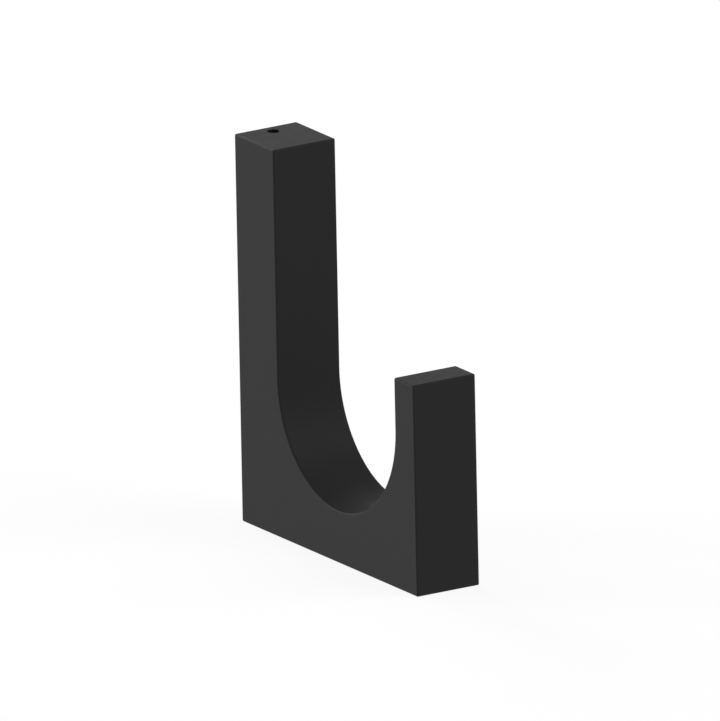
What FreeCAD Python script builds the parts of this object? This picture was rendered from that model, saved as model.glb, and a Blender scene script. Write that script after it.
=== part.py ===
import FreeCAD, Part
import Sketcher
import enum
import math
import os

# A coat hook for a wall: a J-shaped bar of one width, with a tall square post against the wall,
# a half-round cradle that carries the coat, and a slimmer, lower lip in front.
#
# Frame: millimetres, +Z up, +X to the right of someone who faces the wall, +Y into the wall.
# The wall is the plane y = 0, and the origin is where the axis of the wall fixing meets it.
#
# The hook hangs on a turned spigot, which a countersunk screw holds on the wall. The spigot sits in a
# blind socket in the post's back, and a set screw in the post's top bears on the spigot's V groove.
# The groove lies a little nearer the wall than the set screw does, so tightening the screw rides
# its cone on the groove's front flank and draws the hook tight against the wall.

DRIVING_SIZES = (
    ("width", 20.0, "thickness of the bar, left to right"),
    ("height", 110.0, "bottom of the hook to the top of the post"),
    ("post_depth", 20.0, "wall to the front of the post"),
    ("cradle_radius", 30.0, "radius of the half-round cradle"),
    ("lip_thickness", 10.0, "back to front of the lip"),
    ("lip_height", 60.0, "bottom of the hook to the top of the lip"),
    ("base_thickness", 15.0, "bottom of the hook to the lowest point of the cradle"),
    ("edge_radius", 0.5, "rounding of every outer edge"),
    ("spigot_diameter", 12.0, "outside of the wall spigot"),
    ("spigot_length", 8.0, "wall to the front of the spigot"),
    ("spigot_clearance", 0.05, "gap all round the spigot in its socket"),
    ("spigot_chamfer", 0.5, "chamfer on the spigot's front rim"),
    ("socket_end_gap", 0.5, "spigot's front to the end of the socket"),
    ("socket_chamfer", 0.5, "chamfer at the mouth of the socket"),
    ("groove_depth", 1.5, "depth of the spigot's V groove, which is a right angle"),
    ("groove_pull", 0.25, "how much nearer the wall the groove is than the set screw"),
    ("wall_screw_clearance", 4.5, "hole through the spigot for the wall screw"),
    ("wall_screw_head", 9.0, "countersink for the wall screw's head"),
    ("screw_setback", 4.2, "wall to the axis of the set screw"),
    ("screw_core", 3.24, "core of the set screw's thread, which the plain shank stands for"),
    ("screw_length", 8.0, "socket end to point of the set screw"),
    ("screw_recess", 2.0, "top of the post down to the set screw"),
    ("screw_point", 0.4, "small flat on the set screw's cone, which is a right angle"),
    ("screw_chamfer", 0.4, "chamfer at the set screw's socket end"),
    ("point_gap", 0.05, "set screw's cone down to the flank of the groove"),
    ("key_size", 2.0, "hexagon socket, across the flats"),
    ("key_depth", 2.5, "depth of the hexagon socket"),
    ("thread_gap", 0.03, "gap all round the shank in the tapped hole"),
    ("hole_break", 0.15, "broken edge at the mouth of the tapped hole"),
    ("countersink_angle", 90.0, "both countersinks, in degrees"),
)

# Places and sizes that follow from the driving ones.
DERIVED_SIZES = (
    ("spigot_radius", "spigot_diameter / 2", "fixing axis to the outside of the spigot"),
    ("groove_floor", "spigot_radius - groove_depth", "fixing axis to the bottom of the V groove"),
    ("groove_setback", "screw_setback - groove_pull", "wall to the middle of the V groove"),
    ("point_radius", "screw_point / 2", "radius of the flat on the set screw's cone"),
    (
        "point_height",
        "groove_floor + groove_pull + point_radius + point_gap",
        "fixing axis up to the set screw's point",
    ),
    ("screw_top", "point_height + screw_length", "fixing axis up to the set screw's socket end"),
    ("post_top", "screw_top + screw_recess", "fixing axis up to the top of the post"),
    ("cradle_level", "base_thickness + cradle_radius", "bottom of the hook to the cradle's centre"),
    ("socket_radius", "spigot_radius + spigot_clearance", "fixing axis to the wall of the socket"),
    ("shank_radius", "screw_core / 2", "radius of the set screw's plain shank"),
    ("tapped_diameter", "screw_core + 2 * thread_gap", "bore of the set screw's hole"),
)

WALL, SIDE, LEVEL = "XZ_Plane", "YZ_Plane", "XY_Plane"
HEXAGON_SIDES = 6


class Point(enum.IntEnum):
    """The point of a line or arc that a constraint takes hold of, as sketches number it."""

    START = 1
    END = 2
    CENTRE = 3


class Axis(enum.IntEnum):
    """The two axes that every sketch has, as it numbers them."""

    ACROSS = -1
    UP = -2


START, END, CENTRE = Point
ORIGIN = (Axis.ACROSS, START)

doc = FreeCAD.newDocument("coat_hook")


def make_sheet():
    """Fills the spreadsheet: each size's meaning in column A, and the size under its alias in column B."""
    sheet = doc.addObject("Spreadsheet::Sheet", "sizes")
    driving = [(alias, str(value), meaning) for alias, value, meaning in DRIVING_SIZES]
    derived = [(alias, "=" + formula, meaning) for alias, formula, meaning in DERIVED_SIZES]
    for row, (alias, content, meaning) in enumerate(driving + derived, 1):
        sheet.set(f"A{row}", meaning)
        sheet.set(f"B{row}", content)
        sheet.setAlias(f"B{row}", alias)
    doc.recompute()
    return sheet


def size(alias):
    """The present value of a cell, for a sketch's first guess or to tell edges apart."""
    return float(sizes.get(alias))


def bind(feature, **formulas):
    """Ties properties of a feature to formulas over the sheet's cells."""
    for name, formula in formulas.items():
        feature.setExpression(name, formula)


def make_body(label):
    body = doc.addObject("PartDesign::Body", label)
    body.Label = label
    return body


def origin_feature(body, role):
    """One of the body's own origin planes or axes."""
    return next(feature for feature in body.Origin.OriginFeatures if feature.Role == role)


def add_feature(body, kind, name, profile=None):
    """A new PartDesign feature at the body's tip, once what it builds on is up to date."""
    doc.recompute()
    feature = body.newObject(f"PartDesign::{kind}", name)
    if profile:
        feature.Profile = profile
    return feature


def add_sketch(body, plane, name, **offset):
    """A sketch on one of the body's own planes, moved by formulas along the plane's x, y or z."""
    sketch = body.newObject("Sketcher::SketchObject", name)
    sketch.AttachmentSupport = (origin_feature(body, plane), [""])
    sketch.MapMode = "FlatFace"
    for direction, formula in offset.items():
        sketch.setExpression(f"AttachmentOffset.Base.{direction}", formula)
    return sketch


def circle(radius, across=0.0, up=0.0):
    return Part.Circle(FreeCAD.Vector(across, up, 0), FreeCAD.Vector(0, 0, 1), radius)


def add_lines(sketch, corners):
    """Lines from corner to corner, each joined to the next; returns their numbers."""
    points = [FreeCAD.Vector(across, up, 0) for across, up in corners]
    lines = [sketch.addGeometry(Part.LineSegment(*ends)) for ends in zip(points, points[1:])]
    constrain(sketch, "Coincident", *((a, END, b, START) for a, b in zip(lines, lines[1:])))
    return lines


def add_loop(sketch, corners):
    """A closed run of lines through the corners; returns their numbers."""
    lines = add_lines(sketch, corners + corners[:1])
    constrain(sketch, "Coincident", (lines[-1], END, lines[0], START))
    return lines


def constrain(sketch, kind, *places):
    """The same constraint at each place, which is a line's number or a tuple of numbers and ends."""
    for place in places:
        where = place if isinstance(place, tuple) else (place,)
        sketch.addConstraint(Sketcher.Constraint(kind, *where))


def dimension(sketch, name, formula, kind, *where):
    """A named dimension, driven by a formula over the sheet's cells."""
    present = float(sketch.evalExpression(formula))
    index = sketch.addConstraint(Sketcher.Constraint(kind, *where, present))
    sketch.renameConstraint(index, name)
    sketch.setExpression(f"Constraints.{name}", formula)


def add_circle_sketch(body, plane, name, diameter, **offset):
    """A sketch that holds one circle about its own origin."""
    sketch = add_sketch(body, plane, name, **offset)
    ring = sketch.addGeometry(circle(1.0))
    constrain(sketch, "Coincident", (ring, CENTRE, *ORIGIN))
    dimension(sketch, "diameter", diameter, "Diameter", ring)
    return sketch


def edges_where(feature, wanted):
    """The feature's edges for which wanted(edge) holds, as the link that a dress-up feature takes."""
    doc.recompute()
    names = [f"Edge{number}" for number, edge in enumerate(feature.Shape.Edges, 1) if wanted(edge)]
    return (feature, names)


def near(a, b):
    return math.isclose(a, b, abs_tol=1e-6)


def is_rim(edge, radius, y):
    """Whether an edge is a full circle of this radius, square to the fixing axis and at this y."""
    return near(edge.Length, 2 * math.pi * radius) and near(edge.CenterOfMass.y, y)


def draw_profile(sketch):
    """The J from the side: one run of lines, closed by the cradle's half circle."""
    post_front = -size("post_depth")
    lip_back = post_front - 2 * size("cradle_radius")
    lip_front = lip_back - size("lip_thickness")
    top = size("post_top")
    bottom = top - size("height")
    cradle = bottom + size("cradle_level")
    lip_top = bottom + size("lip_height")
    corners = [
        (post_front, cradle),
        (post_front, top),
        (0.0, top),
        (0.0, bottom),
        (lip_front, bottom),
        (lip_front, lip_top),
        (lip_back, lip_top),
        (lip_back, cradle),
    ]
    post, post_end, back, underside, front, lip_end, lip = add_lines(sketch, corners)
    half_round = circle(size("cradle_radius"), post_front - size("cradle_radius"), cradle)
    bend = sketch.addGeometry(Part.ArcOfCircle(half_round, math.pi, 2 * math.pi))
    constrain(sketch, "Tangent", (lip, END, bend, START), (bend, END, post, START))
    constrain(sketch, "Vertical", post, back, front, lip)
    constrain(sketch, "Horizontal", post_end, underside, lip_end)
    constrain(sketch, "PointOnObject", (back, START, Axis.UP))
    dimension(sketch, "post_top", "sizes.post_top", "DistanceY", *ORIGIN, back, START)
    dimension(sketch, "height", "sizes.height", "DistanceY", back, END, back, START)
    dimension(sketch, "post_depth", "sizes.post_depth", "DistanceX", post_end, START, post_end, END)
    dimension(sketch, "lip_thickness", "sizes.lip_thickness", "DistanceX", lip_end, START, lip_end, END)
    dimension(sketch, "lip_height", "sizes.lip_height", "DistanceY", front, START, front, END)
    dimension(sketch, "cradle_radius", "sizes.cradle_radius", "Radius", bend)
    dimension(sketch, "cradle_level", "sizes.cradle_level", "DistanceY", back, END, bend, CENTRE)


def make_hook_body():
    """The bar in its J, rounded all over, bored from behind for the spigot and tapped from above."""
    body = make_body("hook_body")

    profile = add_sketch(body, SIDE, "profile")
    draw_profile(profile)
    bar = add_feature(body, "Pad", "bar", profile)
    bar.SideType = "Symmetric"
    bind(bar, Length="sizes.width")

    cradle_level = size("post_top") - size("height") + size("cradle_level")

    def is_smooth_seam(edge):
        """Whether an edge is where the cradle runs on into the post or the lip, with no corner."""
        level = all(near(end.Z, cradle_level) for end in edge.Vertexes)
        return level and isinstance(edge.Curve, Part.Line)

    rounding = add_feature(body, "Fillet", "rounding")
    rounding.Base = edges_where(bar, lambda edge: not is_smooth_seam(edge))
    bind(rounding, Radius="sizes.edge_radius")

    mouth = add_circle_sketch(body, WALL, "mouth", "2 * sizes.socket_radius")
    socket = add_feature(body, "Pocket", "socket", mouth)
    socket.Reversed = True
    bind(socket, Length="sizes.spigot_length + sizes.socket_end_gap")

    mouth_rim = edges_where(socket, lambda edge: is_rim(edge, size("socket_radius"), 0.0))
    lead_in = add_feature(body, "Chamfer", "lead_in")
    lead_in.Base = mouth_rim
    bind(lead_in, Size="sizes.socket_chamfer")

    start = add_circle_sketch(
        body, LEVEL, "start", "sizes.tapped_diameter", y="-sizes.screw_setback", z="sizes.post_top"
    )
    tapped = add_feature(body, "Hole", "tapped", start)
    tapped.DepthType = "Dimension"
    tapped.DrillPoint = "Flat"
    tapped.HoleCutType = "Countersink"
    bind(
        tapped,
        Diameter="sizes.tapped_diameter",
        Depth="sizes.post_top",
        HoleCutDiameter="sizes.tapped_diameter + 2 * sizes.hole_break",
        HoleCutCountersinkAngle="sizes.countersink_angle",
    )
    return body


def draw_vee(sketch):
    """A right-angled vee on its point, twice as deep as the groove, so that it cuts through the surface."""
    reach = 2 * size("groove_depth")
    left, top, right = add_loop(sketch, [(0.0, 0.0), (-reach, reach), (reach, reach)])
    constrain(sketch, "Coincident", (left, START, *ORIGIN))
    constrain(sketch, "Horizontal", top)
    constrain(sketch, "Perpendicular", (left, right))
    constrain(sketch, "Equal", (left, right))
    dimension(sketch, "reach", "2 * sizes.groove_depth", "DistanceY", left, START, left, END)


def make_wall_spigot():
    """The turned spigot: a short rod with a V groove, drilled and countersunk for the wall screw."""
    body = make_body("wall_spigot")

    section = add_circle_sketch(body, WALL, "section", "sizes.spigot_diameter")
    rod = add_feature(body, "Pad", "rod", section)
    bind(rod, Length="sizes.spigot_length")

    front_rim = edges_where(rod, lambda edge: is_rim(edge, size("spigot_radius"), -size("spigot_length")))
    front_chamfer = add_feature(body, "Chamfer", "front_chamfer")
    front_chamfer.Base = front_rim
    bind(front_chamfer, Size="sizes.spigot_chamfer")

    vee = add_sketch(body, SIDE, "vee", x="-sizes.groove_setback", y="sizes.groove_floor")
    draw_vee(vee)
    groove = add_feature(body, "Groove", "groove", vee)
    groove.ReferenceAxis = (origin_feature(body, "Y_Axis"), [""])

    start = add_circle_sketch(
        body, WALL, "start", "sizes.wall_screw_clearance", z="sizes.spigot_length"
    )
    screw_hole = add_feature(body, "Hole", "screw_hole", start)
    screw_hole.DepthType = "ThroughAll"
    screw_hole.HoleCutType = "Countersink"
    bind(
        screw_hole,
        Diameter="sizes.wall_screw_clearance",
        HoleCutDiameter="sizes.wall_screw_head",
        HoleCutCountersinkAngle="sizes.countersink_angle",
    )
    return body


def draw_screw_half(sketch):
    """Half of the set screw's section, point down, with the sketch's upright axis as its centre line."""
    flat = size("point_radius")
    shank = size("shank_radius")
    chamfer = size("screw_chamfer")
    length = size("screw_length")
    corners = [
        (0.0, 0.0),
        (flat, 0.0),
        (shank, shank - flat),
        (shank, length - chamfer),
        (shank - chamfer, length),
        (0.0, length),
    ]
    tip, cone, side, bevel, end, centre_line = add_loop(sketch, corners)
    constrain(sketch, "Coincident", (tip, START, *ORIGIN))
    constrain(sketch, "Horizontal", tip, end)
    constrain(sketch, "Vertical", side, centre_line)
    dimension(sketch, "flat", "sizes.point_radius", "DistanceX", tip, START, tip, END)
    dimension(sketch, "radius", "sizes.shank_radius", "DistanceX", tip, START, cone, END)
    rise = "sizes.shank_radius - sizes.point_radius"
    dimension(sketch, "rise", rise, "DistanceY", cone, START, cone, END)
    dimension(sketch, "length", "sizes.screw_length", "DistanceY", tip, START, end, START)
    dimension(sketch, "bevel_in", "sizes.screw_chamfer", "DistanceX", bevel, END, bevel, START)
    dimension(sketch, "bevel_up", "sizes.screw_chamfer", "DistanceY", bevel, START, bevel, END)


def draw_hexagon(sketch):
    """The key's socket: a regular hexagon in a helper circle that passes through its corners."""
    corner_radius = size("key_size") / 2 / math.cos(math.pi / HEXAGON_SIDES)
    helper = sketch.addGeometry(circle(corner_radius), True)
    turns = [2 * math.pi * step / HEXAGON_SIDES for step in range(HEXAGON_SIDES)]
    sides = add_loop(sketch, [(corner_radius * math.cos(t), corner_radius * math.sin(t)) for t in turns])
    constrain(sketch, "Coincident", (helper, CENTRE, *ORIGIN))
    constrain(sketch, "PointOnObject", *((side, START, helper) for side in sides))
    constrain(sketch, "PointOnObject", (sides[0], START, Axis.ACROSS))
    constrain(sketch, "Equal", *((sides[0], side) for side in sides[1:]))
    dimension(sketch, "half_flats", "sizes.key_size / 2", "Distance", helper, CENTRE, sides[0])


def make_set_screw():
    """The cone point set screw, turned and then broached for its key."""
    body = make_body("set_screw")

    half = add_sketch(body, SIDE, "half", x="-sizes.screw_setback", y="sizes.point_height")
    draw_screw_half(half)
    turned = add_feature(body, "Revolution", "turned", half)
    turned.ReferenceAxis = (half, ["V_Axis"])

    hexagon = add_sketch(body, LEVEL, "hexagon", y="-sizes.screw_setback", z="sizes.screw_top")
    draw_hexagon(hexagon)
    key_socket = add_feature(body, "Pocket", "key_socket", hexagon)
    bind(key_socket, Length="sizes.key_depth")
    return body


def faults(thing):
    """What is wrong with one object of the document, in words."""
    if {"Invalid", "Error"} & set(thing.State):
        yield f"{thing.Name} failed: {thing.getStatusString()}"
    elif thing.TypeId == "Sketcher::SketchObject" and not thing.FullyConstrained:
        yield f"{thing.Name} is not fully constrained"
    elif thing.TypeId == "PartDesign::Body" and (thing.Shape.isNull() or not thing.Shape.isValid()):
        yield f"{thing.Name} has no valid solid"
    elif thing.TypeId in ("PartDesign::Pocket", "PartDesign::Groove", "PartDesign::Hole"):
        if thing.Shape.isNull() or thing.Shape.Volume >= thing.BaseFeature.Shape.Volume:
            yield f"{thing.Name} cuts nothing"


def main():
    pieces = (make_hook_body(), make_wall_spigot(), make_set_screw())
    doc.recompute()
    found = [fault for thing in doc.Objects for fault in faults(thing)]
    if found:
        raise RuntimeError("; ".join(found))
    os.makedirs("parts", exist_ok=True)
    for piece in pieces:
        piece.Shape.exportStep(f"parts/{piece.Label}.step")
        box = piece.Shape.BoundBox
        print(
            f"{piece.Label}: {piece.Shape.Volume:.1f} mm3,"
            f" x {box.XMin:.2f} to {box.XMax:.2f},"
            f" y {box.YMin:.2f} to {box.YMax:.2f},"
            f" z {box.ZMin:.2f} to {box.ZMax:.2f}"
        )


sizes = make_sheet()
main()
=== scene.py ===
# %% [markdown]
# Coat hook: one bar of aluminium in the shape of a J, in a fine matt black powder coat.
#
# The hook hides its own fixing. A short steel spigot is screwed to the wall, the hook's back slips over
# it, and a cone point set screw in the top of the post draws the two together. This lesson rebuilds all
# three pieces as clean meshes, gives each the finish that it has on the real hook, and lights them as in
# a plain white studio.
#
# The sizes come from a CAD model that is loaded first. +Z is up, +Y goes into the wall, and the origin
# lies where the spigot's axis meets the wall. Blender works in metres. The hook's sizes are written in
# millimetres and go through one value, MM, and the few large sizes of the studio are plain metres.

# %% Tools and the frame
import math

import bmesh
import bpy
from mathutils import Matrix, Vector


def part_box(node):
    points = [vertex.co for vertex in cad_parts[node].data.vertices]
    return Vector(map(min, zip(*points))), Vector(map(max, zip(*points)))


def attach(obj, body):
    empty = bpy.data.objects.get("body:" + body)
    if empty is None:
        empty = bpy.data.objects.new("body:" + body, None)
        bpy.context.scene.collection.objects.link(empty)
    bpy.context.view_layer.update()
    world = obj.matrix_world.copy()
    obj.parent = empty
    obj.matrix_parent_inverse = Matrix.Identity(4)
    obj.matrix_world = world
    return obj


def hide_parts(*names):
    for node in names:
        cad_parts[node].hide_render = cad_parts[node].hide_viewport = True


MM = 0.001
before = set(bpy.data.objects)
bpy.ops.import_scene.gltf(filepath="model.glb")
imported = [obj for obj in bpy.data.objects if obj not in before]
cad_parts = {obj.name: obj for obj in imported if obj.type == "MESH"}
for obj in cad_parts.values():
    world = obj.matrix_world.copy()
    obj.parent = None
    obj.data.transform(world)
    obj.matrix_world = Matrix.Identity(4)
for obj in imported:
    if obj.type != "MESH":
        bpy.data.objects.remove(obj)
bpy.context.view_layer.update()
print("CAD pieces:", sorted(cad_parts))


# %% [markdown]
# A new piece starts as a bmesh, Blender's editable mesh. Turning it into an object is the same for every
# piece, so one helper does it: it merges points that lie on each other, makes the faces look outwards,
# names the object and shades it smooth. Sharp edges are kept apart by their angle.

# %% From a bmesh to an object
MERGE = 0.0005 * MM
SHARP_ANGLE = math.radians(35)


def make_object(name, bm):
    """Turn a bmesh into an object with smooth shading and sharp edges kept."""
    bmesh.ops.remove_doubles(bm, verts=bm.verts, dist=MERGE)
    bmesh.ops.recalc_face_normals(bm, faces=bm.faces)
    mesh = bpy.data.meshes.new(name)
    bm.to_mesh(mesh)
    bm.free()
    mesh.shade_smooth()
    mesh.set_sharp_from_angle(angle=SHARP_ANGLE)
    piece = bpy.data.objects.new(name, mesh)
    bpy.context.scene.collection.objects.link(piece)
    return piece


def report(piece):
    """Print what a piece is made of and how large it is."""
    x, y, z = (round(size / MM, 2) for size in piece.dimensions)
    print(f"{piece.name}: {len(piece.data.polygons)} faces, {x} x {y} x {z} mm")


print("points closer than", MERGE / MM, "mm are merged")


# %% [markdown]
# The J's outline. Its box comes from the frame; what the box doesn't say is how thick the post, the lip
# and the base are. The slot between post and lip ends in a half circle that a coat's loop rests in.
#
# A side face could be one large polygon, but then every later bevel and cut would have to guess how to
# split it. Here the outline is drawn as two rails instead, one along the slot and one along the outside,
# with as many points each. Every pair of points becomes the edge of a clean four-sided face. In the
# round part the outer point is found by going straight out from the half circle's centre until the box's
# edge is met, and the two corners of the box are always among the points.

# %% The two rails of the J
hook_low, hook_high = (Vector(corner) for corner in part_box("hook_body"))
HALF_WIDTH = (hook_high.x - hook_low.x) / 2
POST_TOP = hook_high.z
WALL_PLANE = hook_high.y
FRONT = hook_low.y
UNDERSIDE = hook_low.z
POST_DEPTH = 20 * MM
LIP_THICKNESS = 10 * MM
LIP_HEIGHT = 60 * MM
BASE_THICKNESS = 15 * MM
POST_FRONT = WALL_PLANE - POST_DEPTH
LIP_BACK = FRONT + LIP_THICKNESS
LIP_TOP = UNDERSIDE + LIP_HEIGHT
CRADLE_RADIUS = (POST_FRONT - LIP_BACK) / 2
CRADLE_Y = (POST_FRONT + LIP_BACK) / 2
CRADLE_Z = UNDERSIDE + BASE_THICKNESS + CRADLE_RADIUS
ARC_STEP = math.radians(2)
# Anything smaller than this is only the computer's rounding.
ROUNDING_ERROR = 1e-9


def spread(start, end, largest_step):
    """Even values from start to end, with no step larger than the one given."""
    steps = math.ceil(abs(end - start) / largest_step - ROUNDING_ERROR)
    return [start + (end - start) * step / steps for step in range(steps + 1)]


def outer_point(angle):
    """Where a ray from the cradle's centre meets the outside of the J, in the lower half."""
    y, z = math.cos(angle), -math.sin(angle)
    reach = []
    if z < -ROUNDING_ERROR:
        reach.append((UNDERSIDE - CRADLE_Z) / z)
    if y > ROUNDING_ERROR:
        reach.append((WALL_PLANE - CRADLE_Y) / y)
    if y < -ROUNDING_ERROR:
        reach.append((FRONT - CRADLE_Y) / y)
    return CRADLE_Y + y * min(reach), CRADLE_Z + z * min(reach)


back_corner = math.atan2(CRADLE_Z - UNDERSIDE, WALL_PLANE - CRADLE_Y)
front_corner = math.pi - math.atan2(CRADLE_Z - UNDERSIDE, CRADLE_Y - FRONT)
angles = spread(0, back_corner, ARC_STEP)
angles += spread(back_corner, front_corner, ARC_STEP)[1:]
angles += spread(front_corner, math.pi, ARC_STEP)[1:]

slot_rail = [(POST_FRONT, POST_TOP)]
outer_rail = [(WALL_PLANE, POST_TOP)]
for angle in angles:
    y = CRADLE_Y + CRADLE_RADIUS * math.cos(angle)
    z = CRADLE_Z - CRADLE_RADIUS * math.sin(angle)
    slot_rail.append((y, z))
    outer_rail.append(outer_point(angle))
slot_rail.append((LIP_BACK, LIP_TOP))
outer_rail.append((FRONT, LIP_TOP))
print("points on each rail:", len(slot_rail))


# %% [markdown]
# The rails are laid down twice, on the left and on the right side, and skinned: the strips of the two
# side faces, the slot, the outside and the two end caps. The real bar leaves the mill with crisp edges
# that are broken before it is coated, so that the powder holds on them. A rounding of half a millimetre
# is cut with bevel, in enough steps to shine as one curve.

# %% The J as a solid
EDGE_ROUNDING = 0.5 * MM
ROUNDING_STEPS = 6
# The profile at which bevel cuts an arc of a circle.
ROUND_PROFILE = 0.5
CORNER_ANGLE = math.radians(40)


def skin_between(bm, rail_a, rail_b):
    """Four-sided faces between two rows of points."""
    for here in range(len(rail_a) - 1):
        bm.faces.new((rail_a[here], rail_a[here + 1], rail_b[here + 1], rail_b[here]))


def make_bar():
    """The J with rounded edges and no holes yet."""
    bm = bmesh.new()
    sides = []
    for x in (-HALF_WIDTH, HALF_WIDTH):
        slot = [bm.verts.new((x, y, z)) for y, z in slot_rail]
        outside = [bm.verts.new((x, y, z)) for y, z in outer_rail]
        skin_between(bm, slot, outside)
        sides.append((slot, outside))
    (slot_left, outside_left), (slot_right, outside_right) = sides
    skin_between(bm, slot_left, slot_right)
    skin_between(bm, outside_left, outside_right)
    for end in (0, -1):
        bm.faces.new((slot_left[end], outside_left[end], outside_right[end], slot_right[end]))
    bmesh.ops.recalc_face_normals(bm, faces=bm.faces)
    corners = [edge for edge in bm.edges if edge.calc_face_angle(0) > CORNER_ANGLE]
    bmesh.ops.bevel(
        bm,
        geom=corners,
        offset=EDGE_ROUNDING,
        offset_type="OFFSET",
        segments=ROUNDING_STEPS,
        profile=ROUND_PROFILE,
        affect="EDGES",
    )
    return make_object("hook", bm)


hook = make_bar()
report(hook)


# %% [markdown]
# Threads. A thread is a ridge that climbs round a rod by one pitch in each turn. Drawn on an upright
# grid, its crest comes out as a staircase. Here the grid itself climbs: each row of points follows the
# helix, so that a row lies wholly on a crest, on a flank or in a root, and the seam joins a row to the
# one that lies one turn further on. The rod's ends are given by a limit on the radius at each height,
# such as a cone or a chamfer, and points past the end are held on the end.

# %% A threaded rod
THREAD_PITCH = 0.7 * MM
# One pitch in rows of points, from the root (0) to the crest (1) and back.
THREAD_SHAPE = (0, 0, 0.33, 0.67, 1, 0.67, 0.33, 0)
THREAD_ROWS = len(THREAD_SHAPE)
TURN_STEPS = 48


def threaded_rod(bm, bottom, top, core, crest, limit):
    """The outside of a threaded rod on the Z axis; gives back its bottom and top rings."""
    radii = [core + (crest - core) * share for share in THREAD_SHAPE]
    first = math.floor(bottom / THREAD_PITCH - 1) * THREAD_ROWS
    last = math.ceil(top / THREAD_PITCH) * THREAD_ROWS
    columns = []
    for step in range(TURN_STEPS + 1):
        turn = 2 * math.pi * step / TURN_STEPS
        column = []
        for row in range(first, last + 1):
            height = (row / THREAD_ROWS + step / TURN_STEPS) * THREAD_PITCH
            height = min(max(height, bottom), top)
            radius = min(radii[row % THREAD_ROWS], limit(height))
            if height in (bottom, top):
                radius = limit(height)
            column.append(bm.verts.new((radius * math.cos(turn), radius * math.sin(turn), height)))
        columns.append(column)
    for column, beside in zip(columns, columns[1:]):
        skin_between(bm, column, beside)
    return [column[0] for column in columns[:-1]], [column[-1] for column in columns[:-1]]


print("thread:", THREAD_ROWS, "rows of points in a pitch of", round(THREAD_PITCH / MM, 2), "mm")


# %% [markdown]
# Turned and drilled shapes. A lathe makes a round piece from one outline, and so does the next helper:
# it turns a list of (radius, place) points about an axis. It is used for the spigot, and for the cutter
# that stands for the counterbore.

# %% A lathe
LATHE_STEPS = 96


def turn_outline(bm, outline, closed):
    """Turn an outline of (radius, place) points about the Z axis."""
    rings = []
    for radius, place in outline:
        ring = []
        for step in range(LATHE_STEPS):
            angle = 2 * math.pi * step / LATHE_STEPS
            ring.append(bm.verts.new((radius * math.cos(angle), radius * math.sin(angle), place)))
        rings.append(ring + ring[:1])
    following = rings[1:] + rings[:1] if closed else rings[1:]
    for ring, after in zip(rings, following):
        skin_between(bm, ring, after)
    if not closed:
        bm.faces.new(rings[0][:-1])
        bm.faces.new(rings[-1][:-1])


# Z of the lathe becomes Y of the hook, and the piece keeps its hand.
ALONG_Y = Matrix.Rotation(math.radians(-90), 4, "X")
print("the lathe's Z becomes", [round(part) for part in ALONG_Y @ Vector((0, 0, 1))])


# %% [markdown]
# The two holes. On the real bar a counterbore makes the socket in the back, then a 3.3 mm drill goes in
# from the top until it breaks into the socket, and an M4 tap cuts its thread. The same is done here: a
# cutter for each is subtracted by a Boolean, which also works out the edge where the two holes meet. A
# Boolean can leave two points in one place, so they are merged afterwards. The mouth is drilled a little
# wider, as a lead for the screw, and the thread starts where that lead ends.

# %% Socket and tapped hole
SCREW_SETBACK = 4.2 * MM
SOCKET_RADIUS = 6.05 * MM
SOCKET_DEPTH = 8.5 * MM
SOCKET_CHAMFER = 0.5 * MM
HOLE_RADIUS = 1.65 * MM
THREAD_RADIUS = 2.02 * MM
LEAD_RADIUS = 1.8 * MM
LEAD_DEPTH = 0.15 * MM
# The drill stops at the height of the spigot's axis, inside the socket.
DRILL_END = 0
# How far a cutter stands out of the bar, so that it cuts cleanly through the skin.
OVERSHOOT = 1 * MM


def cut(piece, cutter):
    """Subtract a cutter from a piece and merge the points that this leaves on each other."""
    modifier = piece.modifiers.new("cut", "BOOLEAN")
    modifier.operation = "DIFFERENCE"
    modifier.solver = "EXACT"
    modifier.object = cutter
    bpy.context.view_layer.objects.active = piece
    with bpy.context.temp_override(object=piece, active_object=piece, selected_objects=[piece]):
        bpy.ops.object.modifier_apply(modifier=modifier.name)
    bpy.data.objects.remove(cutter)
    bm = bmesh.new()
    bm.from_mesh(piece.data)
    bmesh.ops.remove_doubles(bm, verts=bm.verts, dist=MERGE)
    bm.to_mesh(piece.data)
    bm.free()


def make_socket_cutter():
    """The counterbore, with the chamfer at the mouth of the socket."""
    bm = bmesh.new()
    wide = SOCKET_RADIUS + SOCKET_CHAMFER + OVERSHOOT
    outline = [
        (SOCKET_RADIUS, -SOCKET_DEPTH),
        (SOCKET_RADIUS, -SOCKET_CHAMFER),
        (wide, OVERSHOOT),
    ]
    turn_outline(bm, outline, closed=False)
    bmesh.ops.transform(bm, matrix=ALONG_Y, verts=bm.verts)
    return make_object("socket_cutter", bm)


def make_hole_cutter():
    """The drill with the tap's thread, and a plain lead above it."""
    bm = bmesh.new()
    thread_top = POST_TOP - LEAD_DEPTH

    def tap_limit(height):
        """The thread starts as wide as the lead and deepens as it goes down."""
        return min(LEAD_RADIUS + thread_top - height, THREAD_RADIUS)

    bottom, top = threaded_rod(bm, DRILL_END, thread_top, HOLE_RADIUS, THREAD_RADIUS, tap_limit)
    mouth = [bm.verts.new((vert.co.x, vert.co.y, POST_TOP + OVERSHOOT)) for vert in top]
    skin_between(bm, top + top[:1], mouth + mouth[:1])
    bm.faces.new(mouth)
    bm.faces.new(bottom)
    bmesh.ops.translate(bm, verts=bm.verts, vec=(0, WALL_PLANE - SCREW_SETBACK, 0))
    return make_object("hole_cutter", bm)


cut(hook, make_socket_cutter())
cut(hook, make_hole_cutter())
report(hook)


# %% [markdown]
# The wall spigot is turned from steel bar: a straight land, the V groove for the screw's cone, a chamfer
# in front and a countersunk hole for the wall screw. Every edge is broken by less than a tenth of a
# millimetre, which is what makes a turned edge glint.

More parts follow.
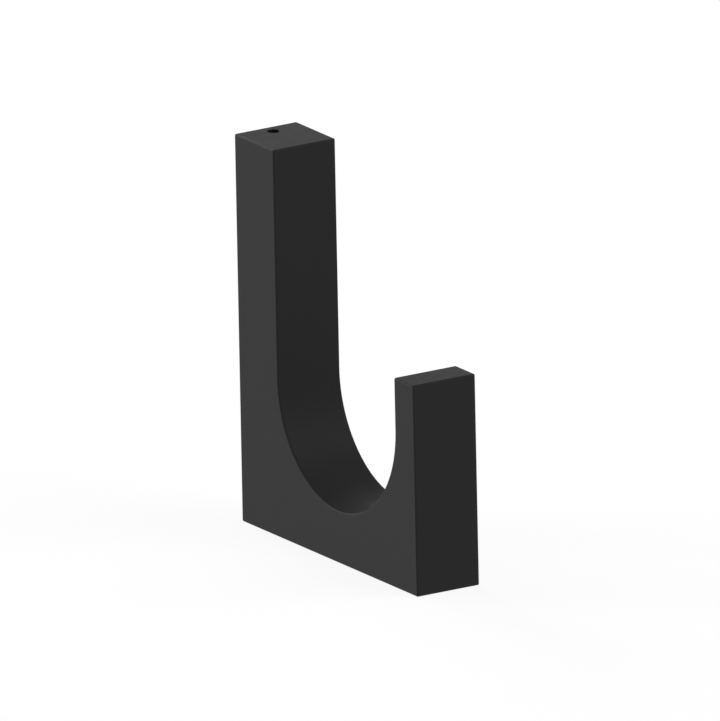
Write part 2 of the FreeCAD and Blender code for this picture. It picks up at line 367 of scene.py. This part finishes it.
# %% Wall spigot
SPIGOT_RADIUS = 6 * MM
SPIGOT_LENGTH = 8 * MM
SPIGOT_CHAMFER = 0.5 * MM
GROOVE_DEPTH = 1.5 * MM
GROOVE_PULL = 0.25 * MM
WALL_HOLE_RADIUS = 2.25 * MM
WALL_HEAD_RADIUS = 4.5 * MM
TURNED_EDGE = 0.08 * MM
TURNED_EDGE_STEPS = 3


def make_spigot():
    """The turned spigot, with its groove and countersunk hole."""
    groove = WALL_PLANE - SCREW_SETBACK + GROOVE_PULL
    front = WALL_PLANE - SPIGOT_LENGTH
    outline = [
        (WALL_HOLE_RADIUS, WALL_PLANE),
        (WALL_HOLE_RADIUS, front + WALL_HEAD_RADIUS - WALL_HOLE_RADIUS),
        (WALL_HEAD_RADIUS, front),
        (SPIGOT_RADIUS - SPIGOT_CHAMFER, front),
        (SPIGOT_RADIUS, front + SPIGOT_CHAMFER),
        (SPIGOT_RADIUS, groove - GROOVE_DEPTH),
        (SPIGOT_RADIUS - GROOVE_DEPTH, groove),
        (SPIGOT_RADIUS, groove + GROOVE_DEPTH),
        (SPIGOT_RADIUS, WALL_PLANE),
    ]
    bm = bmesh.new()
    turn_outline(bm, outline, closed=True)
    bmesh.ops.recalc_face_normals(bm, faces=bm.faces)
    rims = [edge for edge in bm.edges if edge.calc_face_angle(0) > CORNER_ANGLE]
    bmesh.ops.bevel(
        bm,
        geom=rims,
        offset=TURNED_EDGE,
        segments=TURNED_EDGE_STEPS,
        profile=ROUND_PROFILE,
        affect="EDGES",
    )
    bmesh.ops.transform(bm, matrix=ALONG_Y, verts=bm.verts)
    return make_object("spigot", bm)


spigot = make_spigot()
report(spigot)


# %% [markdown]
# The set screw is rolled from steel wire and blackened. It has no head: a hexagon socket for the key is
# pressed into its upper end, and the lower end is a cone. The ring of the thread's end is joined to the
# hexagon by a flat face, whose points are matched by angle. The pilot drill leaves the socket's floor as
# a shallow cone.

# %% Set screw
SCREW_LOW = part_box("set_screw")[0][2]
SCREW_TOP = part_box("set_screw")[1][2]
SCREW_CORE = 1.62 * MM
SCREW_CREST = 1.96 * MM
SCREW_END_RADIUS = 1.42 * MM
POINT_RADIUS = 0.2 * MM
KEY_SIZE = 2 * MM
KEY_DEPTH = 2.5 * MM
KEY_LEAD = 0.1 * MM
KEY_FLOOR_CONE = KEY_SIZE / 6


def screw_limit(height):
    """The cone at the bottom, the chamfer at the top, and the thread's crest between them."""
    cone = POINT_RADIUS + height - SCREW_LOW
    chamfer = SCREW_END_RADIUS + SCREW_TOP - height
    return min(cone, chamfer, SCREW_CREST)


def hexagon_radius(angle, across_flats):
    """How far a hexagon's edge lies from its centre in the direction of an angle."""
    sector = math.radians(60)
    from_flat = (angle + sector / 2) % sector - sector / 2
    return across_flats / 2 / math.cos(from_flat)


def make_screw():
    """The threaded cone point screw with its hexagon socket."""
    bm = bmesh.new()
    bottom, ring = threaded_rod(bm, SCREW_LOW, SCREW_TOP, SCREW_CORE, SCREW_CREST, screw_limit)
    bm.faces.new(bottom)
    levels = [
        (KEY_SIZE + 2 * KEY_LEAD, SCREW_TOP),
        (KEY_SIZE, SCREW_TOP - KEY_LEAD),
        (KEY_SIZE, SCREW_TOP - KEY_DEPTH),
    ]
    for across_flats, height in levels:
        inner = []
        for vert in ring:
            angle = math.atan2(vert.co.y, vert.co.x)
            radius = hexagon_radius(angle, across_flats)
            inner.append(bm.verts.new((radius * math.cos(angle), radius * math.sin(angle), height)))
        skin_between(bm, ring + ring[:1], inner + inner[:1])
        ring = inner
    floor_centre = bm.verts.new((0, 0, SCREW_TOP - KEY_DEPTH - KEY_FLOOR_CONE))
    for here, after in zip(ring, ring[1:] + ring[:1]):
        bm.faces.new((here, after, floor_centre))
    bmesh.ops.translate(bm, verts=bm.verts, vec=(0, WALL_PLANE - SCREW_SETBACK, 0))
    return make_object("screw", bm)


screw = make_screw()
report(screw)


# %% [markdown]
# Large flat faces beside small roundings need help with shading: an evenly averaged normal would bend
# the light far into the flat. The Weighted Normal modifier lets the larger face decide, so flats stay
# flat and only the rounding turns.

# %% Shading of flats and roundings
LARGEST_WEIGHT = 100

for piece in (hook, spigot, screw):
    weighted = piece.modifiers.new("weighted normals", "WEIGHTED_NORMAL")
    weighted.mode = "FACE_AREA"
    weighted.weight = LARGEST_WEIGHT
    weighted.keep_sharp = True
    print(piece.name, "has", weighted.name)


# %% [markdown]
# Colour. Finishes are picked as sRGB hex values, the way a colour chart gives them, but shaders add up
# light in linear values. One function converts them, and one adds a node with its settings, values and
# links, so that a material reads as a list of what it is made of. Each tree starts empty, and a finish
# ends in the Principled shader, which takes its colour, roughness and normal from the nodes before it.

# %% Helpers for materials
# The Mix node has sockets for several kinds of data. These are the numbers of those for colours.
MIX_FROM = 6
MIX_TO = 7
MIX_RESULT = 2


def linear(hex_colour):
    """An sRGB hex colour as linear red, green, blue and alpha."""
    channels = []
    for start in (1, 3, 5):
        value = int(hex_colour[start:start + 2], 16) / 255
        channels.append(value / 12.92 if value <= 0.04045 else ((value + 0.055) / 1.055) ** 2.4)
    return (*channels, 1.0)


def add_node(tree, kind, settings=None, values=None, links=None):
    """Add a shader node, set its properties and socket values, and link other sockets into it."""
    node = tree.nodes.new("ShaderNode" + kind)
    for name, setting in (settings or {}).items():
        setattr(node, name, setting)
    for name, value in (values or {}).items():
        node.inputs[name].default_value = value
    for name, socket in (links or {}).items():
        tree.links.new(socket, node.inputs[name])
    return node


def empty_tree(owner):
    """The node tree of a material or a world, cleared."""
    owner.use_nodes = True
    owner.node_tree.nodes.clear()
    return owner.node_tree


def end_finish(tree, colour, roughness, surface, values):
    """End a tree with the Principled shader, fed by the nodes given, and the material's output."""
    shader = add_node(
        tree,
        "BsdfPrincipled",
        values=values,
        links={
            "Base Color": colour.outputs[MIX_RESULT],
            "Roughness": roughness.outputs["Result"],
            "Normal": surface.outputs["Normal"],
        },
    )
    add_node(tree, "OutputMaterial", links={"Surface": shader.outputs["BSDF"]})


print("#808080 looks half as bright as white and is", round(linear("#808080")[0], 3), "of its light")


# %% [markdown]
# Black powder coat. The bar is sprayed with dry polyester powder and baked, and the powder melts into a
# skin of about 80 micrometres. A fine matt grade keeps a dense grain of about 0.3 mm, over a slow swell
# of a few millimetres where the melt has flowed. To the eye it is a neutral black with no mirror image,
# but a face that is seen at a low angle takes a grey sheen from the white room around it. That sheen is
# why the hook's top and side look so much lighter than its front. So the colour is nearly black, the
# roughness is a middle one, and the specular level is far below that of a gloss paint, because the
# grain's tiny hollows swallow much of what a smooth skin would mirror.

# %% Black powder coat
COAT_GRAIN = 0.3 * MM
COAT_SWELL = 4 * MM
COAT_GRAIN_HEIGHT = 0.006 * MM
COAT_SWELL_HEIGHT = 0.01 * MM
COAT_DARK = "#212121"
COAT_LIGHT = "#262626"
COAT_ROUGHNESS = (0.46, 0.54)
COAT_SPECULAR = 0.061


def make_powder_coat():
    """Fine matt black polyester powder coat."""
    material = bpy.data.materials.new("black_powder_coat")
    tree = empty_tree(material)
    place = add_node(tree, "TexCoord")
    grain = add_node(
        tree,
        "TexNoise",
        values={"Scale": 1 / COAT_GRAIN, "Detail": 2, "Roughness": 0.6},
        links={"Vector": place.outputs["Object"]},
    )
    swell = add_node(
        tree,
        "TexNoise",
        values={"Scale": 1 / COAT_SWELL, "Detail": 1, "Roughness": 0.4},
        links={"Vector": place.outputs["Object"]},
    )
    colour = add_node(
        tree,
        "Mix",
        settings={"data_type": "RGBA"},
        values={MIX_FROM: linear(COAT_DARK), MIX_TO: linear(COAT_LIGHT)},
        links={0: grain.outputs["Fac"]},
    )
    roughness = add_node(
        tree,
        "MapRange",
        values={"To Min": COAT_ROUGHNESS[0], "To Max": COAT_ROUGHNESS[1]},
        links={"Value": swell.outputs["Fac"]},
    )
    flow = add_node(
        tree,
        "Bump",
        values={"Strength": 1, "Distance": COAT_SWELL_HEIGHT},
        links={"Height": swell.outputs["Fac"]},
    )
    surface = add_node(
        tree,
        "Bump",
        values={"Strength": 1, "Distance": COAT_GRAIN_HEIGHT},
        links={"Height": grain.outputs["Fac"], "Normal": flow.outputs["Normal"]},
    )
    end_finish(tree, colour, roughness, surface, values={"Specular IOR Level": COAT_SPECULAR})
    return material


powder_coat = make_powder_coat()
print("made", powder_coat.name)


# %% [markdown]
# Zinc plated steel. The spigot is turned, so its surface carries a fine spiral of tool marks that run
# round its axis, about 0.1 mm apart, and the thin bright zinc over them takes a cool grey with soft
# clouds. In a picture of the whole hook marks that fine would vanish, so they are drawn as coarse as a
# rough cut leaves them, 0.6 mm apart. Two waves make them: bands along the axis are what the tool leaves
# on the barrel, and rings round the axis are what it leaves on the flat ends. Each is constant where the
# other one shows, so the two can simply be added. In a white studio every facet of a metal mirrors the
# same white, so the marks are also painted into the colour as shade: the colour is darker in the grooves
# of the marks, multiplied with the zinc's own clouds of tone.

# %% Zinc plated steel
# At a scale of 1, one wave of the Wave texture is this long.
WAVE_UNIT = 2 * math.pi / 20
TURNING_MARK = 0.6 * MM
TURNING_HEIGHT = 0.012 * MM
ZINC_CLOUD = 2 * MM
ZINC_DARK = "#A9ACB0"
ZINC_LIGHT = "#C6C8CA"
ZINC_ROUGHNESS = (0.26, 0.42)


def make_zinc_plate():
    """Turned steel under bright zinc."""
    material = bpy.data.materials.new("zinc_plated_steel")
    tree = empty_tree(material)
    place = add_node(tree, "TexCoord")
    tool_marks = {"Scale": WAVE_UNIT / TURNING_MARK, "Distortion": 0.4, "Detail": 1, "Detail Scale": 0.2}
    barrel = add_node(
        tree,
        "TexWave",
        settings={"wave_type": "BANDS", "bands_direction": "Y"},
        values=tool_marks,
        links={"Vector": place.outputs["Object"]},
    )
    ends = add_node(
        tree,
        "TexWave",
        settings={"wave_type": "RINGS", "rings_direction": "Y"},
        values=tool_marks,
        links={"Vector": place.outputs["Object"]},
    )
    marks = add_node(
        tree,
        "Math",
        settings={"operation": "ADD"},
        links={0: barrel.outputs["Fac"], 1: ends.outputs["Fac"]},
    )
    cloud = add_node(
        tree,
        "TexNoise",
        values={"Scale": 1 / ZINC_CLOUD, "Detail": 4, "Roughness": 0.6},
        links={"Vector": place.outputs["Object"]},
    )
    # Painted shade: the colour darkens in the grooves of the tool marks, over the zinc's own clouds of
    # tone.
    clouds_and_painted_groove_shade = add_node(
        tree,
        "Math",
        settings={"operation": "MULTIPLY"},
        links={0: cloud.outputs["Fac"], 1: marks.outputs[0]},
    )
    colour = add_node(
        tree,
        "Mix",
        settings={"data_type": "RGBA"},
        values={MIX_FROM: linear(ZINC_DARK), MIX_TO: linear(ZINC_LIGHT)},
        links={0: clouds_and_painted_groove_shade.outputs[0]},
    )
    roughness = add_node(
        tree,
        "MapRange",
        values={"To Min": ZINC_ROUGHNESS[0], "To Max": ZINC_ROUGHNESS[1]},
        links={"Value": cloud.outputs["Fac"]},
    )
    surface = add_node(
        tree,
        "Bump",
        values={"Strength": 1, "Distance": TURNING_HEIGHT},
        links={"Height": marks.outputs[0]},
    )
    end_finish(tree, colour, roughness, surface, values={"Metallic": 1})
    return material


zinc_plate = make_zinc_plate()
print("made", zinc_plate.name)


# %% [markdown]
# Black oxide steel. The screw is dipped hot until a thin black oxide has grown, then oiled. It is still
# metal to the eye: dark, slightly brown, with a soft oily highlight that breaks up in fine spots.

# %% Black oxide steel
OXIDE_SPOT = 0.25 * MM
OXIDE_HEIGHT = 0.004 * MM
OXIDE_DARK = "#232223"
OXIDE_LIGHT = "#373534"
OXIDE_ROUGHNESS = (0.34, 0.5)


def make_black_oxide():
    """Rolled steel under oiled black oxide."""
    material = bpy.data.materials.new("black_oxide_steel")
    tree = empty_tree(material)
    place = add_node(tree, "TexCoord")
    spots = add_node(
        tree,
        "TexNoise",
        values={"Scale": 1 / OXIDE_SPOT, "Detail": 3, "Roughness": 0.6},
        links={"Vector": place.outputs["Object"]},
    )
    colour = add_node(
        tree,
        "Mix",
        settings={"data_type": "RGBA"},
        values={MIX_FROM: linear(OXIDE_DARK), MIX_TO: linear(OXIDE_LIGHT)},
        links={0: spots.outputs["Fac"]},
    )
    roughness = add_node(
        tree,
        "MapRange",
        values={"To Min": OXIDE_ROUGHNESS[0], "To Max": OXIDE_ROUGHNESS[1]},
        links={"Value": spots.outputs["Fac"]},
    )
    surface = add_node(
        tree,
        "Bump",
        values={"Strength": 1, "Distance": OXIDE_HEIGHT},
        links={"Height": spots.outputs["Fac"]},
    )
    end_finish(tree, colour, roughness, surface, values={"Metallic": 1})
    return material


black_oxide = make_black_oxide()
print("made", black_oxide.name)


# %% [markdown]
# Each new piece now takes its finish, and the CAD piece that it stands for is hidden. Nothing on this
# hook moves, so all three belong to the one body, called root.

# %% Finish and place of each piece
hook.data.materials.append(powder_coat)
spigot.data.materials.append(zinc_plate)
screw.data.materials.append(black_oxide)

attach(hook, "root")
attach(spigot, "root")
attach(screw, "root")
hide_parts("hook_body")
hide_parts("wall_spigot")
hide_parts("set_screw")
print("finished:", [(piece.name, piece.active_material.name) for piece in (hook, spigot, screw)])


# %% [markdown]
# The stage is a white studio: a white floor under the hook and a white world round it. Rays that are
# seen, from the camera, in gloss or through glass, find plain white there, and the Light Path node tells
# them from the rays that carry matt light.
#
# The floor is white with a little shadow. Most of its white is its own, and a small share is a matt
# surface. The open floor gets 0.84 of the light that would make a white matt surface render as white, so
# the matt share is divided by that, and the two add up to white there and to a little less in the hook's
# shadow. What the floor sends up to the hook as matt light is an even white.

# %% Floor
FLOOR_SIZE = 4.0
WHITE = "#FFFFFF"
SHADOW_SHARE = 0.12
OPEN_FLOOR_LIGHT = 0.84


def seen_rays(tree):
    """A socket that is 1 for camera, glossy and transmission rays and 0 for the others."""
    path = add_node(tree, "LightPath")
    direct = add_node(
        tree,
        "Math",
        settings={"operation": "MAXIMUM"},
        links={0: path.outputs["Is Camera Ray"], 1: path.outputs["Is Glossy Ray"]},
    )
    seen = add_node(
        tree,
        "Math",
        settings={"operation": "MAXIMUM"},
        links={0: direct.outputs[0], 1: path.outputs["Is Transmission Ray"]},
    )
    return seen.outputs[0]


def make_floor():
    """A large white floor at the height of the hook's underside."""
    bm = bmesh.new()
    bmesh.ops.create_grid(bm, x_segments=1, y_segments=1, size=FLOOR_SIZE / 2)
    bmesh.ops.translate(bm, verts=bm.verts, vec=(0, 0, UNDERSIDE))
    floor = make_object("floor", bm)
    material = bpy.data.materials.new("studio_floor")
    tree = empty_tree(material)
    grey = SHADOW_SHARE / OPEN_FLOOR_LIGHT
    own_white = add_node(tree, "Emission", values={"Color": linear(WHITE), "Strength": 1 - SHADOW_SHARE})
    matt = add_node(tree, "BsdfDiffuse", values={"Color": (grey, grey, grey, 1)})
    seen = add_node(tree, "AddShader", links={0: own_white.outputs[0], 1: matt.outputs[0]})
    unseen = add_node(tree, "Emission", values={"Color": linear(WHITE), "Strength": 1})
    both = add_node(
        tree,
        "MixShader",
        links={0: seen_rays(tree), 1: unseen.outputs[0], 2: seen.outputs[0]},
    )
    add_node(tree, "OutputMaterial", links={"Surface": both.outputs[0]})
    floor.data.materials.append(material)


make_floor()
print("floor:", FLOOR_SIZE, "m across")


# %% [markdown]
# The world. A small studio has white walls and a darker ceiling, so the matt light is strongest at the
# horizon and fades out overhead. Generated coordinates in a world are the direction that a ray looks in,
# and their Z is 0 at the horizon and 1 straight up. To rays that are seen, the world is white all over.

# %% World
WALL_LIGHT = 0.8


def make_world():
    """White to the eye, and a soft light on the object that fades out overhead."""
    world = bpy.data.worlds.new("studio")
    tree = empty_tree(world)
    place = add_node(tree, "TexCoord")
    height = add_node(tree, "SeparateXYZ", links={0: place.outputs["Generated"]})
    fading = add_node(
        tree,
        "MapRange",
        values={"From Min": 0, "From Max": 1, "To Min": WALL_LIGHT, "To Max": 0},
        links={"Value": height.outputs["Z"]},
    )
    light = add_node(
        tree,
        "Background",
        values={"Color": linear(WHITE)},
        links={"Strength": fading.outputs["Result"]},
    )
    white = add_node(tree, "Background", values={"Color": linear(WHITE), "Strength": 1})
    both = add_node(
        tree,
        "MixShader",
        links={0: seen_rays(tree), 1: light.outputs[0], 2: white.outputs[0]},
    )
    add_node(tree, "OutputWorld", links={"Surface": both.outputs[0]})
    bpy.context.scene.world = world


make_world()
bpy.context.scene.view_settings.view_transform = "Standard"
print("view:", bpy.context.scene.view_settings.view_transform)


# %% [markdown]
# Directions. Lamps and camera stand round the hook, so both are placed by two angles, as in an
# architect's plan: how far to the right of the front, and how far above the floor.

# %% A direction from two angles
def towards(azimuth, elevation):
    """The direction from the hook to something at these two angles, in degrees."""
    azimuth, elevation = math.radians(azimuth), math.radians(elevation)
    return Vector((
        math.sin(azimuth) * math.cos(elevation),
        -math.cos(azimuth) * math.cos(elevation),
        math.sin(elevation),
    ))


print("the front lies towards", [round(part, 3) for part in towards(0, 0)])


# %% [markdown]
# Three lamps. A large one hangs in front on the right and opens up the fronts and the cradle. A low one
# stands behind on the left and lights the side. A higher one stands straight behind the hook and draws
# the light line along the upper edges of the left side, while the post keeps it off the cradle. All are
# far off, so that they light the hook evenly from top to bottom.
#
# Their power is written as a level: at level 1, a white matt face that looks straight at the lamp
# renders as white. An area lamp of P watts lights a face at a distance d by P / (pi d^2), and a white
# matt face sends back that light divided by pi, so level 1 is pi^2 d^2 watts.

# %% Lamps
LAMP_DISTANCE = 3.0
WHITE_POWER = (math.pi * LAMP_DISTANCE) ** 2


def make_lamp(name, direction, across, level):
    """A square area lamp that faces the middle of the hook."""
    data = bpy.data.lights.new(name, "AREA")
    data.shape = "SQUARE"
    data.size = across
    data.energy = level * WHITE_POWER
    lamp = bpy.data.objects.new(name, data)
    lamp.location = (hook_low + hook_high) / 2 + direction * LAMP_DISTANCE
    lamp.rotation_euler = direction.to_track_quat("Z", "Y").to_euler()
    bpy.context.scene.collection.objects.link(lamp)
    return lamp


for lamp in (
    make_lamp("front_light", towards(azimuth=45, elevation=40), across=2.2, level=0.5),
    make_lamp("side_light", towards(azimuth=-135, elevation=9), across=1.2, level=0.8),
    make_lamp("back_light", towards(azimuth=180, elevation=25), across=1.2, level=0.44),
):
    print(lamp.name, round(lamp.data.energy, 2), "W")


# %% [markdown]
# The camera. The photograph shows parallel edges as parallel, so it is taken with a parallel projection.
# Its direction was worked out from the picture's edges: 31.7 degrees to the left of the front and 16.5
# degrees above, with the picture turned by a little over one degree. The lower left corner of the hook's
# back pins the view in place.

# %% Camera
PICTURE_WIDTH = 720
PICTURE_HEIGHT = 721
PIXELS_PER_MM = 3.6742
AZIMUTH = -31.711
ELEVATION = 16.474
ROLL = math.radians(1.156)
CORNER_PIXEL = (241.997, 521.147)
CAMERA_DISTANCE = 1.0


def make_camera():
    """The photograph's camera, placed so that the back's lower left corner lies on its pixel."""
    backwards = towards(AZIMUTH, ELEVATION)
    level_right = towards(AZIMUTH + 90, 0)
    level_up = backwards.cross(level_right)
    right = math.cos(ROLL) * level_right - math.sin(ROLL) * level_up
    up = math.sin(ROLL) * level_right + math.cos(ROLL) * level_up
    pixel = MM / PIXELS_PER_MM
    corner = Vector((hook_low.x, WALL_PLANE, UNDERSIDE))
    centre = corner + right * (PICTURE_WIDTH / 2 - CORNER_PIXEL[0]) * pixel
    centre += up * (CORNER_PIXEL[1] - PICTURE_HEIGHT / 2) * pixel
    data = bpy.data.cameras.new("camera")
    data.type = "ORTHO"
    data.ortho_scale = PICTURE_HEIGHT * pixel
    camera = bpy.data.objects.new("camera", data)
    turned = Matrix((right, up, backwards)).transposed().to_4x4()
    camera.matrix_world = Matrix.Translation(centre + backwards * CAMERA_DISTANCE) @ turned
    bpy.context.scene.collection.objects.link(camera)
    bpy.context.scene.camera = camera
    return camera


camera = make_camera()
print("picture height:", round(camera.data.ortho_scale / MM, 2), "mm")
